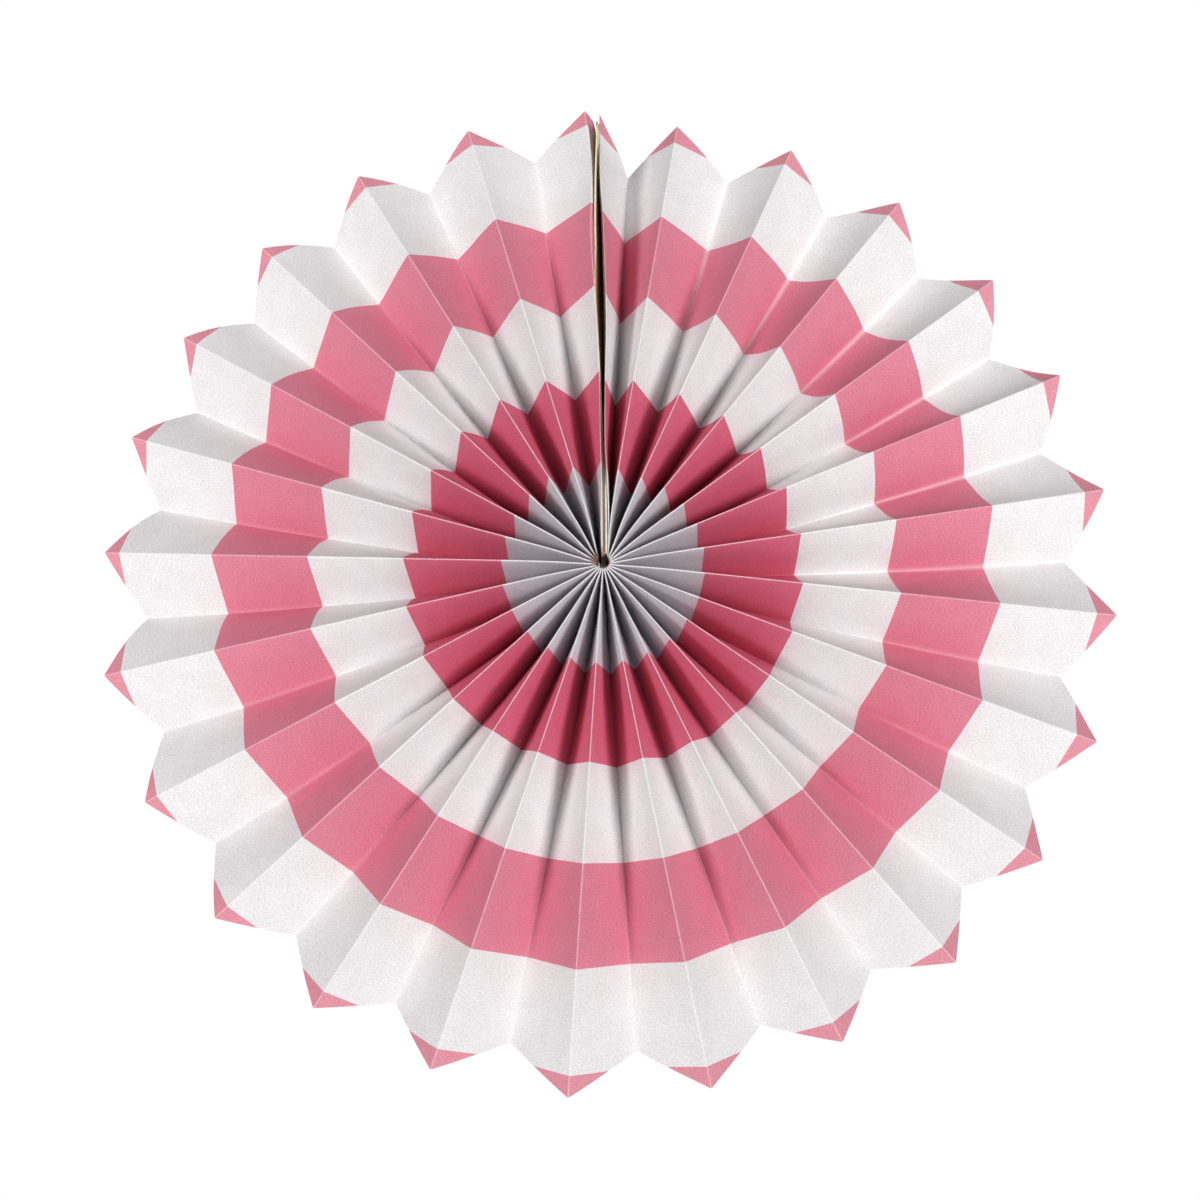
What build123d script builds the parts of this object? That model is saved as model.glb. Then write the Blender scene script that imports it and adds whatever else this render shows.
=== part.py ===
from build123d import *
from math import asin, cos, degrees, radians, sin, sqrt, tan
import os

# Paper fan rosette: one long strip of paper, folded like an accordion and opened into a
# full disc. The strip's two ends are glued to stiff boards that meet at twelve o'clock,
# and a thread through the inner ends of the pleats gathers them at the hub.
#
# Millimetres. X to the right, Y from the front of the disc to its back, Z up.
# The origin is the centre of the hub, halfway between the foremost tips and the hub's back.

os.makedirs("parts", exist_ok=True)

# The folded strip: its outer edge is cut back from each mountain fold to each valley fold
tip_radius = 150.0
zigzag_depth = 9.0
hub_radius = 3.0
pleat_depth_at_rim = 10.9
paper = 0.2

# How the pleats lie: the one beside the seam stays tight, the others share the rest.
# The fold fronts come forward from the hub to the tips, and the disc sags a little.
pleat_count = 25
band_count = 5
tight_pleat_angle = 9.9
sag_angle = 0.35
dish = 5.5

# The seam: a board glued on each end panel, set back from the fold, with a strip of tape
# between the two boards' rear edges. The folds beside the seam spread towards the tips.
board = 0.55
board_setback = 1.0
board_end_margin = 0.5
glue = 0.05
tape = 0.5
tape_width = 6.0
tape_to_thread = 8.5
tape_to_hang_hole = 12.0
seam_spread = 1.1

# The thread that gathers the pleats, and its knot in the hub
thread_diameter = 0.4
thread_slit = 0.6
thread_ring_radius = 5.5
thread_depth = -2.5
knot_diameter = 1.6

# The hole for hanging, punched through both boards behind the pleats
hang_hole_diameter = 3.0
hang_hole_to_valley_end = 7.0
hang_hole_to_rear_edge = 4.1

# Angles of the pleats. The two folds beside the seam stand apart by both boards.
seam_half_width = tape / 2 + board + glue + paper
seam_angle = degrees(asin(seam_spread / tip_radius))
last_fold_angle = 360 - seam_angle
even_pleat_angle = (last_fold_angle - seam_angle - tight_pleat_angle) / (pleat_count - 1)

# Each panel is as wide as it must be to span half a pleat at the rim at the stated depth
valley_end_radius = tip_radius - zigzag_depth
half_pleat_at_rim = valley_end_radius * sin(radians(even_pleat_angle / 2))
panel_width = sqrt(half_pleat_at_rim**2 + pleat_depth_at_rim**2)

# Stations along a fold, from the hub to the last full section before the cut edge
band_length = (valley_end_radius - hub_radius) / band_count
stations = [hub_radius + band_length * band for band in range(band_count)]

# Each section goes from a mountain fold to a valley; the last one follows the zigzag cut
cuts = [(station, station) for station in stations] + [(tip_radius, valley_end_radius)]

# The boards end a little short of the paper, along the same slanted line
board_cuts = cuts[:-1] + [(tip_radius - board_end_margin, valley_end_radius - board_end_margin)]


def fold_angle(fold):
    """Angle of a mountain fold, clockwise from twelve o'clock as seen from the front."""
    if fold == 0:
        return seam_angle
    if fold == pleat_count:
        return last_fold_angle
    even = seam_angle + tight_pleat_angle + even_pleat_angle * (fold - 1)
    return even + sag_angle * sin(radians(even))


def mountain(fold, station):
    """Point on a mountain fold at a distance from the hub, in the plane of the disc."""
    angle = radians(fold_angle(fold))
    turn = min(max(fold - 1, 0), pleat_count - 2) / (pleat_count - 2)
    aside = seam_half_width * (1 - 2 * turn)
    x = station * sin(angle) + aside * cos(angle)
    z = station * cos(angle) - aside * sin(angle)
    return Vector(x, 0, z)


def valley(pleat, station):
    """Point on the valley fold between two mountain folds, in the plane of the disc."""
    return (mountain(pleat, station) + mountain(pleat + 1, station)) * 0.5


def crest(station):
    """Depth of the front of the mountain folds."""
    return (dish - panel_width) / 2 - dish * station / tip_radius


def rear(station):
    """Depth of the rear edges at the seam."""
    return crest(station) + panel_width


def panel_section(pleat, fold, cut):
    """Corners of the paper across a panel, down its front face and back up its rear face."""
    mountain_station, valley_station = cut
    start = mountain(fold, mountain_station)
    end = valley(pleat, valley_station)
    half_pleat = (mountain(fold, valley_station) - end).length
    lean = asin(half_pleat / panel_width)
    nose_width = paper * tan((radians(90) - lean) / 2)
    rise = sqrt(panel_width**2 - (half_pleat - nose_width) ** 2)
    nose = (end - start) * (nose_width / half_pleat)
    front = Vector(0, crest(mountain_station), 0)
    back = Vector(0, crest(valley_station) + rise, 0)
    thickness = Vector(0, paper, 0)
    front_face = [start + front, start + nose + front, end + back]
    rear_face = [end + back + thickness, end - nose + back + thickness, start + front + thickness]
    return front_face + rear_face


def glued_face(station, depth):
    """Half width of the seam inside the end panels, at a depth behind their folds."""
    front = mountain(0, station).X - paper
    back = seam_half_width - paper
    return front + (back - front) * depth / panel_width


def seam_section(side, cut, half_widths_and_depths):
    """Corners of a piece in the seam, given by half width and depth behind the fold."""
    front_station, back_station = cut
    start = mountain(0, front_station).Z
    end = mountain(0, back_station).Z
    corners = []
    for half_width, depth in half_widths_and_depths:
        height = start + (end - start) * depth / panel_width
        corners.append(Vector(side * half_width, crest(front_station) + depth, height))
    return corners


def end_panel_section(side, cut):
    """Corners of the paper across an end panel, from its fold to its free edge and back."""
    fold = mountain(0, cut[0]).X
    face = glued_face(cut[1], panel_width)
    outline = [(fold, 0), (fold - paper, 0), (face, panel_width), (face + paper, panel_width)]
    corners = seam_section(side, cut, outline)
    return corners + [corners[0] + Vector(0, paper, 0)]


def board_section(side, cut):
    """Corners of a board across its width, on the glued face of its end panel."""
    front = glued_face(cut[0], board_setback) - glue
    back = glued_face(cut[0], panel_width) - glue
    outline = [
        (front, board_setback),
        (front - board, board_setback),
        (back - board, panel_width),
        (back, panel_width),
    ]
    return seam_section(side, cut, outline)


def facet(*corners):
    """Flat three-cornered face."""
    return Face(Wire.make_polygon(corners, close=True))


def strip(section, next_section, first, second):
    """Two facets between the same two corners of neighbouring sections."""
    a, b = section[first], section[second]
    c, d = next_section[second], next_section[first]
    return [facet(a, b, c), facet(a, c, d)]


def cap(section):
    """Facets that close the cut edge of the paper at a section."""
    near, far = 0, len(section) - 1
    facets = []
    while far - near > 1:
        facets.append(facet(section[near], section[near + 1], section[far]))
        near += 1
        if far - near > 1:
            facets.append(facet(section[near], section[far - 1], section[far]))
            far -= 1
    return facets


def panel_facets(sections, corner_pairs):
    """All the facets of one panel, left open where it folds into its neighbours."""
    facets = cap(sections[0]) + cap(sections[-1])
    for section, next_section in zip(sections, sections[1:]):
        for first, second in corner_pairs:
            facets += strip(section, next_section, first, second)
    return facets


def board_plate(side):
    """Solid of a board, skinned with flat facets from section to section."""
    sections = [board_section(side, cut) for cut in board_cuts]
    return Solid(Shell(panel_facets(sections, [(0, 1), (1, 2), (2, 3), (0, 3)])))


# The hanging hole stands in the rear half of the boards, behind the pleats
hang_hole_height = valley_end_radius - hang_hole_to_valley_end
hang_hole_depth = rear(hang_hole_height) - hang_hole_to_rear_edge

# What is cut through the paper and the boards: a ring of slits for the thread near the hub,
# and the hanging hole near the tips. The hole stays clear of the pleats beside the seam.
with BuildPart() as punch:
    with BuildSketch():
        with Locations((thread_ring_radius, thread_depth)):
            Rectangle(thread_slit, thread_slit)
    revolve(axis=Axis.Y)
    with Locations((0, hang_hole_depth, hang_hole_height)):
        Cylinder(
            hang_hole_diameter / 2,
            2 * (seam_half_width + seam_spread),
            rotation=(0, 90, 0),
        )

# One sheet: fifty panels around the disc, and the two end panels that lie on the boards
sheet_facets = []
for pleat in range(pleat_count):
    for fold in (pleat, pleat + 1):
        sections = [panel_section(pleat, fold, cut) for cut in cuts]
        sheet_facets += panel_facets(sections, [(0, 1), (1, 2), (4, 3), (5, 4)])
for side in (1, -1):
    sections = [end_panel_section(side, cut) for cut in cuts]
    sheet_facets += panel_facets(sections, [(0, 1), (1, 2), (2, 3), (4, 3)])

with BuildPart() as pleated_sheet:
    add(Solid(Shell(sheet_facets)))
    add(punch.part, mode=Mode.SUBTRACT)

# The two boards, each a thin plate glued along its end panel
with BuildPart() as end_board_left:
    add(board_plate(-1))
    add(punch.part, mode=Mode.SUBTRACT)

with BuildPart() as end_board_right:
    add(board_plate(1))
    add(punch.part, mode=Mode.SUBTRACT)

# The tape lies between the rear edges of the boards, from beyond the thread to short of the
# hanging hole
tape_start = thread_ring_radius + tape_to_thread
tape_end = hang_hole_height - tape_to_hang_hole

with BuildPart() as closing_tape:
    with BuildSketch(Plane.YZ):
        with BuildLine():
            Polyline(
                (rear(tape_start) - tape_width, tape_start),
                (rear(tape_start), tape_start),
                (rear(tape_end), tape_end),
                (rear(tape_end) - tape_width, tape_end),
                close=True,
            )
        make_face()
    extrude(amount=tape / 2, both=True)

# The thread runs round the hub through a slit in every panel and board. Its two ends come
# down between the boards, as one strand here, and are knotted in the open hub.
with BuildPart() as binding_thread:
    with Locations((0, thread_depth, 0)):
        Torus(thread_ring_radius, thread_diameter / 2, rotation=(90, 0, 0))
        Sphere(knot_diameter / 2)
        Cylinder(
            thread_diameter / 2,
            thread_ring_radius,
            align=(Align.CENTER, Align.CENTER, Align.MIN),
        )

pleated_sheet.part.label = "pleated_sheet"
end_board_left.part.label = "end_board_left"
end_board_right.part.label = "end_board_right"
closing_tape.part.label = "closing_tape"
binding_thread.part.label = "binding_thread"

export_step(pleated_sheet.part, "parts/pleated_sheet.step")
export_step(end_board_left.part, "parts/end_board_left.step")
export_step(end_board_right.part, "parts/end_board_right.step")
export_step(closing_tape.part, "parts/closing_tape.step")
export_step(binding_thread.part, "parts/binding_thread.step")
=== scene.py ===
"""Paper fan rosette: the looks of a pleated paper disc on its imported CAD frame.

Everything is in metres in the CAD's own frame: +X right, +Y from the front of the disc to
its back, +Z up along the seam, with the origin at the centre of the hub.
"""

import logging
import math
import random
from dataclasses import dataclass
from enum import Enum

import bmesh
import bpy
from bmesh.types import BMesh
from bpy.types import Curve, Material, Node, NodeSocket, NodeTree, Object, SolidifyModifier
from mathutils import Matrix, Vector


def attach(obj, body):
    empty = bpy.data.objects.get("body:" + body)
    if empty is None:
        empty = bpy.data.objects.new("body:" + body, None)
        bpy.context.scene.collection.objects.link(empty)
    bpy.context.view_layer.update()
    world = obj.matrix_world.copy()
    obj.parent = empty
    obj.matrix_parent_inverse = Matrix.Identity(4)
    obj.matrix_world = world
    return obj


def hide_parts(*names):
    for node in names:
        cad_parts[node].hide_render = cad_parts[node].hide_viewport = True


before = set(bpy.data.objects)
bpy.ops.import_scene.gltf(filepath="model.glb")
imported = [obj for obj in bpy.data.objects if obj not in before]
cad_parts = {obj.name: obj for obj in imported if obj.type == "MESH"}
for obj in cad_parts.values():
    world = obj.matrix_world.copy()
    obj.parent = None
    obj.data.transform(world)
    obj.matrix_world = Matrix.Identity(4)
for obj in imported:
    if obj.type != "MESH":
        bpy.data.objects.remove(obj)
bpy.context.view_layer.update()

# What may be linked into a node, and the four numbers that a Map Range node is given
Source = Node | NodeSocket
Levels = tuple[float, float, float, float]
RANGE = ("From Min", "From Max", "To Min", "To Max")

LOG = logging.getLogger("rosette")
MM = 0.001
# Corners closer than this become one when a sheet is punched
WELD = 1e-7
# Shares of a panel's width: a point this close to a crease lies on it, and one that rounding
# put this little before a panel belongs to it
AT_CREASE = 1e-4
ROUNDING = 1e-6


class Side(Enum):
    """The side of the seam, and the sign of X there."""

    LEFT = -1
    RIGHT = 1


class Fold(Enum):
    """Which way the paper turns at a fold, or that it ends there."""

    MOUNTAIN = "mountain"
    VALLEY = "valley"
    FREE_EDGE = "free edge"


def linear(hex_colour: str) -> tuple[float, float, float, float]:
    """Turn an sRGB hex colour into linear RGBA.

    Args:
        hex_colour: Six hex digits, such as "f4f1f2".

    Returns:
        The colour in linear RGB, with an alpha of 1.
    """
    channels = [int(hex_colour[i : i + 2], 16) / 255 for i in (0, 2, 4)]
    low = [c / 12.92 if c <= 0.04045 else ((c + 0.055) / 1.055) ** 2.4 for c in channels]
    return (low[0], low[1], low[2], 1.0)


def add_node(
    tree: NodeTree,
    kind: str,
    values: dict[str | int, object] | None = None,
    links: dict[str | int, Source] | None = None,
    **settings: object,
) -> Node:
    """Add one shader node, with its settings, values and incoming links.

    Inputs that share a name go by number: a Mix node's colours are 6 and 7, and its output 2.

    Args:
        tree: The material's or world's node tree.
        kind: The node's type, without "ShaderNode".
        values: Default values, by input name or number.
        links: What is linked in, by input name or number. A node stands for its first output.
        settings: Attributes of the node itself.

    Returns:
        The new node.
    """
    node = tree.nodes.new(f"ShaderNode{kind}")
    for name, value in settings.items():
        setattr(node, name, value)
    for name, value in (values or {}).items():
        node.inputs[name].default_value = value
    for name, source in (links or {}).items():
        socket = source.outputs[0] if isinstance(source, Node) else source
        tree.links.new(socket, node.inputs[name])
    return node


def finish_surface(
    tree: NodeTree,
    values: dict[str | int, object],
    links: dict[str | int, Source],
    height: Source | None = None,
    relief: tuple[float, float] = (0.0, 0.0),
) -> None:
    """End a material in its surface shader.

    Args:
        tree: The material's node tree.
        values: The shader's own values, by input name.
        links: What is linked into the shader, by input name.
        height: The pattern that stands out of the surface, if one does.
        relief: How strongly it stands out, and how high it is in metres.
    """
    if height is not None:
        look = {"Strength": relief[0], "Distance": relief[1]}
        links = {**links, "Normal": add_node(tree, "Bump", look, {"Height": height})}
    shader = add_node(tree, "BsdfPrincipled", values, links)
    add_node(tree, "OutputMaterial", {}, {"Surface": shader})


def seen_directly(tree: NodeTree) -> Node:
    """Tell the rays that show a surface from those that light others with it.

    Args:
        tree: A material's or world's node tree.

    Returns:
        A node that gives 1 for camera, glossy and transmission rays, and 0 for the rest.
    """
    path = add_node(tree, "LightPath")
    seen = path.outputs["Is Camera Ray"]
    for kind in ("Is Glossy Ray", "Is Transmission Ray"):
        seen = add_node(tree, "Math", {}, {0: seen, 1: path.outputs[kind]}, operation="MAXIMUM")
    return seen


class Surface:
    """A new material's node tree, with the place that its patterns are read at."""

    def __init__(self, name: str) -> None:
        """Make the material.

        Args:
            name: The material's name.
        """
        self.material = bpy.data.materials.new(name)
        self.material.use_nodes = True
        self.tree = self.material.node_tree
        self.tree.nodes.clear()
        self.place = self.read_place()

    def read_place(self) -> NodeSocket:
        """Give the place on the object, in metres."""
        return add_node(self.tree, "TexCoord").outputs["Object"]


class StripSurface(Surface):
    """A material that reads the place on the flat strip, along it and across it, in metres."""

    def read_place(self) -> NodeSocket:
        """Read the strip's own UV map, and keep its two axes.

        Returns:
            The place on the flat strip, in metres.
        """
        place = add_node(self.tree, "UVMap", uv_map="strip").outputs[0]
        axes = add_node(self.tree, "SeparateXYZ", {}, {0: place})
        self.along, self.across = axes.outputs[0], axes.outputs[1]
        return place


@dataclass(frozen=True)
class Patches:
    """Soft random patches of one real size, in metres, which make a surface uneven.

    The levels are the noise's values where they start and are full, and what they give there.
    """

    size: float
    levels: Levels
    detail: float
    roughness: float = 0.5
    dimensions: str = "2D"

    def spread(self, tree: NodeTree, place: Source) -> tuple[Node, Node]:
        """Spread the patches over a surface.

        Args:
            tree: The material's node tree.
            place: The place on the surface, in metres.

        Returns:
            The bare noise, and the patches.
        """
        look = {"Scale": 1 / self.size, "Detail": self.detail, "Roughness": self.roughness}
        noise = add_node(
            tree, "TexNoise", look, {"Vector": place}, noise_dimensions=self.dimensions
        )
        return noise, add_node(tree, "MapRange", dict(zip(RANGE, self.levels)), {"Value": noise})


@dataclass(frozen=True)
class SoiledAndShadedEdge:
    """The strip's inner edge, brown: painted shade round the hub, and soil at the upper left."""

    brown: str
    full_until: float = 0.0016
    strongest: float = 0.95
    # From here to there along the strip, it reaches from this to that far across it
    reach: Levels = (0.70, 0.92, 0.0024, 0.0062)

    def soil_and_shade(self, strip: StripSurface, colour: NodeSocket) -> NodeSocket:
        """Brown the edge of a clean paper, with painted shade and soil.

        Args:
            strip: The paper's material.
            colour: The clean paper's colour.

        Returns:
            The mix of both colours.
        """
        reach = add_node(
            strip.tree,
            "MapRange",
            dict(zip(RANGE, self.reach)),
            {"Value": strip.along},
            interpolation_type="SMOOTHSTEP",
        )
        share = add_node(
            strip.tree,
            "MapRange",
            {"From Min": self.full_until, "To Min": self.strongest, "To Max": 0.0},
            {"Value": strip.across, "From Max": reach},
            interpolation_type="SMOOTHSTEP",
        )
        brown = {7: linear(self.brown)}
        soiled_and_shaded = add_node(strip.tree, "Mix", brown, {0: share, 6: colour}, data_type="RGBA")
        return soiled_and_shaded.outputs[2]


@dataclass(frozen=True)
class PrintedPaper:
    """Offset-printed uncoated paper: flat fields of ink with painted shade near the hub, a soft
    fibre tooth and pale folds.
    """

    white: str = "ece9ea"
    # The hub's field is the white paper painted grey, as painted shade of the deep pleats there
    shaded_hub_white: str = "d8d3d8"
    pink: str = "de8599"
    # The inner band is the same pink ink, painted deeper as shade
    shaded_inner_pink: str = "d96b85"
    tip_pink: str = "e092a1"
    fold_white: str = "fffdfc"
    # How far from the hub each band of colour ends
    band_edges: tuple[float, ...] = (0.03077, 0.06029, 0.08853, 0.11724, 0.14519)
    # The sheet takes up its ink unevenly, in clouds of about 6 mm
    mottle: Patches = Patches(0.006, (0.3, 0.7, 0.965, 1.02), 4.0, 0.6)
    # The real tooth is about 0.1 mm; it is drawn at 0.5 mm, so that it shows
    tooth: Patches = Patches(0.0005, (0.3, 0.7, 0.86, 1.11), 2.0)
    # The mountain folds lose their ink in flakes about 1 mm long, 0.14 to 0.42 mm to each side,
    # and most near the hub, where they are handled: this much white from here to there
    flakes: Patches = Patches(0.0012, (0.0, 1.0, 0.00014, 0.00042), 3.0)
    wear: Levels = (0.03, 0.10, 0.78, 0.36)
    # How far the folds turn pale, both where the ink is worn and where light is painted
    pale_fold_share: float = 0.72
    # A line of painted light lies along the open valley folds, 2 mm to each side: more of it
    # outwards, and less round the disc, but none in the tight pleat
    valley_line: float = 0.0020
    glow_outwards: Levels = (0.05, 0.08, 0.0, 0.5)
    glow_round: Levels = (0.26, 0.36, 1.0, 0.3)
    tight_panels: float = 2.5
    # The inner edge is painted brown: painted shade all round the hub, and soil wider at the
    # upper left
    inner_edge: SoiledAndShadedEdge = SoiledAndShadedEdge("8a5546")
    relief: tuple[float, float] = (0.25, 0.00004)
    roughness: float = 0.72

    def band_colour(self, strip: StripSurface, tip_radius: float) -> Node:
        """Colour the bands by the distance from the hub, with painted shade in the two inner
        fields.

        Args:
            strip: The paper's material.
            tip_radius: Distance of the tips from the hub.

        Returns:
            A colour ramp with a hard step at each band's edge.
        """
        share = add_node(
            strip.tree, "Math", {1: tip_radius}, {0: strip.across}, operation="DIVIDE"
        )
        ramp = add_node(strip.tree, "ValToRGB", {}, {0: share})
        ramp.color_ramp.interpolation = "CONSTANT"
        # The hub's grey and the first, deeper pink are painted shade; the rest is the print
        band_tints = [self.shaded_inner_pink, self.white, self.pink, self.white, self.tip_pink]
        ramp.color_ramp.elements[0].color = linear(self.shaded_hub_white)
        ramp.color_ramp.elements.remove(ramp.color_ramp.elements[1])
        for edge, band_colour in zip(self.band_edges, band_tints):
            stop = ramp.color_ramp.elements.new(edge / tip_radius)
            stop.color = linear(band_colour)
        return ramp

    def glow(self, strip: StripSurface, to_mountain: Node, panel_width: float) -> Node:
        """Paint a line of light along the valley folds.

        Args:
            strip: The paper's material.
            to_mountain: Distance from the panel's mountain fold.
            panel_width: Width of a panel, from fold to fold.

        Returns:
            The share of painted light at a place, from 0 to 1.
        """
        tree = strip.tree
        limit = {1: self.tight_panels * panel_width}
        strength = add_node(tree, "Math", limit, {0: strip.along}, operation="GREATER_THAN")
        for change, axis in ((self.glow_round, strip.along), (self.glow_outwards, strip.across)):
            share = add_node(tree, "MapRange", dict(zip(RANGE, change)), {"Value": axis})
            strength = add_node(tree, "Math", {}, {0: strength, 1: share}, operation="MULTIPLY")
        return add_node(
            tree,
            "MapRange",
            {"From Min": panel_width - self.valley_line, "From Max": panel_width, "To Min": 0.0},
            {"Value": to_mountain, "To Max": strength},
            interpolation_type="SMOOTHSTEP",
        )

    def build(self, panel_width: float, tip_radius: float) -> Material:
        """Make the printed face's material.

        Args:
            panel_width: Width of a panel, from fold to fold.
            tip_radius: Distance of the tips from the hub.

        Returns:
            The material, which reads the strip's own UV map in metres.
        """
        strip = StripSurface("printed_paper")
        tree = strip.tree
        band_colour = self.band_colour(strip, tip_radius)
        _, clouds = self.mottle.spread(tree, strip.place)
        fibres, tooth = self.tooth.spread(tree, strip.place)
        uneven = add_node(tree, "Math", {}, {0: clouds, 1: tooth}, operation="MULTIPLY")
        mottled = add_node(
            tree, "Mix", {0: 1.0}, {6: band_colour, 7: uneven}, data_type="RGBA", blend_type="MULTIPLY"
        )
        # The distance from a panel's mountain fold, which starts at the first panel's inner end
        to_mountain = strip.along
        for step in ("SUBTRACT", "PINGPONG"):
            to_mountain = add_node(
                tree, "Math", {1: panel_width}, {0: to_mountain}, operation=step
            )
        _, reach = self.flakes.spread(tree, strip.place)
        wear = add_node(tree, "MapRange", dict(zip(RANGE, self.wear)), {"Value": strip.across})
        worn = add_node(
            tree,
            "MapRange",
            {"To Max": 0.0},
            {"Value": to_mountain, "From Max": reach, "To Min": wear},
            interpolation_type="SMOOTHSTEP",
        )
        glow = self.glow(strip, to_mountain, panel_width)
        # Pale folds: worn ink on the mountain folds, and painted light along the valley folds
        wear_and_painted_light = add_node(tree, "Math", {}, {0: worn, 1: glow}, operation="MAXIMUM")
        white = {0: self.pale_fold_share, 7: linear(self.fold_white)}
        pale = add_node(tree, "Mix", white, {6: band_colour}, data_type="RGBA")
        both = {0: wear_and_painted_light, 6: mottled.outputs[2], 7: pale.outputs[2]}
        colour = add_node(tree, "Mix", {}, both, data_type="RGBA")
        finish_surface(
            tree,
            {"Roughness": self.roughness, "IOR": 1.45, "Specular IOR Level": 0.25},
            {"Base Color": self.inner_edge.soil_and_shade(strip, colour.outputs[2])},
            fibres,
            self.relief,
        )
        return strip.material


@dataclass(frozen=True)
class PlainPaper:
    """The unprinted back and the cut edge of the same paper: off-white, with a fibre tooth."""

    white: str = "efecea"
    # Where the pulp lies thicker or thinner, in clouds of about 8 mm
    cloud: Patches = Patches(0.008, (0.3, 0.7, 0.96, 1.01), 4.0)
    # The real tooth is about 0.1 mm; it is drawn at 0.4 mm, so that it shows
    fibre_size: float = 0.0004
    # The back's inner edge is painted darker brown: painted shade round the hub, and soil wider
    # at the upper left
    inner_edge: SoiledAndShadedEdge = SoiledAndShadedEdge("6e4a3c")
    relief: tuple[float, float] = (0.3, 0.00004)
    roughness: float = 0.8

    def build(self) -> Material:
        """Make the plain face's material, which reads the strip's own UV map.

        Returns:
            The material.
        """
        strip = StripSurface("plain_paper")
        tree = strip.tree
        _, clouds = self.cloud.spread(tree, strip.place)
        white = {0: 1.0, 6: linear(self.white)}
        colour = add_node(
            tree, "Mix", white, {7: clouds}, data_type="RGBA", blend_type="MULTIPLY"
        )
        look = {"Scale": 1 / self.fibre_size, "Detail": 2.0}
        fibres = add_node(tree, "TexNoise", look, {"Vector": strip.place}, noise_dimensions="2D")
        finish_surface(
            tree,
            {"Roughness": self.roughness, "IOR": 1.45, "Specular IOR Level": 0.2},
            {"Base Color": self.inner_edge.soil_and_shade(strip, colour.outputs[2])},
            fibres,
            self.relief,
        )
        return strip.material


@dataclass(frozen=True)
class RecycledBoard:
    """Recycled board: matt pulp in two colours, pressed on its faces and cut at its edges."""

    name: str
    light: str
    dark: str
    pulp: Patches
    relief: tuple[float, float]
    roughness: float
    stretch: tuple[float, float, float] = (1.0, 1.0, 1.0)

    def build(self) -> Material:
        """Make the board's material.

        Returns:
            The material, which reads Object coordinates.
        """
        board = Surface(self.name)
        tree = board.tree
        place = add_node(tree, "Mapping", {"Scale": self.stretch}, {"Vector": board.place})
        fibres, share = self.pulp.spread(tree, place)
        colours = {6: linear(self.light), 7: linear(self.dark)}
        pulp = add_node(tree, "Mix", colours, {0: share}, data_type="RGBA")
        finish_surface(
            tree,
            {"Roughness": self.roughness, "IOR": 1.45, "Specular IOR Level": 0.2},
            {"Base Color": pulp.outputs[2]},
            fibres,
            self.relief,
        )
        return board.material


# The board's faces are tan-brown and pressed smooth, with darker flecks of about 1.2 mm
BOARD_FACE = RecycledBoard(
    name="greyboard_face",
    light="c09a74",
    dark="94714f",
    pulp=Patches(0.0012, (0.4, 0.68, 0.0, 1.0), 5.0, 0.7, "3D"),
    relief=(0.4, 0.0001),
    roughness=0.88,
)

# The knife-cut edges are cream, with layers of pulp 0.22 mm thick as faint lines along them
BOARD_EDGE = RecycledBoard(
    name="greyboard_cut_edge",
    light="efe7cf",
    dark="cdbf9c",
    pulp=Patches(0.00022, (0.4, 0.7, 0.0, 1.0), 3.0, dimensions="3D"),
    relief=(0.4, 0.00008),
    roughness=0.9,
    stretch=(1.0, 0.12, 0.12),
)


@dataclass(frozen=True)
class FoamTape:
    """Double-sided acrylic foam tape: matt, closed cells, faintly yellow."""

    foam: str = "e6e1d2"
    # Real cells are 0.1 to 0.3 mm; they are drawn at 0.4 mm, so that they show
    cell_size: float = 0.0004
    relief: tuple[float, float] = (0.5, 0.0001)
    roughness: float = 0.6

    def build(self) -> Material:
        """Make the tape's material.

        Returns:
            The material, which reads Object coordinates.
        """
        tape = Surface("foam_tape")
        size = {"Scale": 1 / self.cell_size}
        cells = add_node(tape.tree, "TexVoronoi", size, {"Vector": tape.place})
        look = {"Base Color": linear(self.foam), "Roughness": self.roughness, "IOR": 1.45}
        finish_surface(tape.tree, look, {}, cells, self.relief)
        return tape.material


@dataclass(frozen=True)
class TwistedThread:
    """Waxed linen thread: olive-grey plies with a slant of light and dark along them."""

    light: str = "7d7354"
    dark: str = "3f3626"
    # The plies are as long as the thread is thick; a wave of scale 1 has bands 0.3 m apart
    ply_size: float = 0.0004
    band_spacing: float = 0.3
    relief: tuple[float, float] = (0.5, 0.0001)
    roughness: float = 0.65

    def build(self) -> Material:
        """Make the thread's material.

        Returns:
            The material, which reads Object coordinates.
        """
        thread = Surface("twisted_thread")
        plies = add_node(
            thread.tree,
            "TexWave",
            {"Scale": self.band_spacing / self.ply_size, "Distortion": 2.0, "Detail": 2.0},
            {"Vector": thread.place},
            bands_direction="DIAGONAL",
        ).outputs[1]
        colours = {6: linear(self.dark), 7: linear(self.light)}
        colour = add_node(thread.tree, "Mix", colours, {0: plies}, data_type="RGBA").outputs[2]
        look = {"Roughness": self.roughness, "IOR": 1.5, "Sheen Weight": 0.2}
        finish_surface(thread.tree, look, {"Base Color": colour}, plies, self.relief)
        return thread.material


def smooth_step(share: float) -> float:
    """Ease a share, so that it leaves 0 and reaches 1 level."""
    share = min(max(share, 0.0), 1.0)
    return share * share * (3 - 2 * share)


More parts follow.
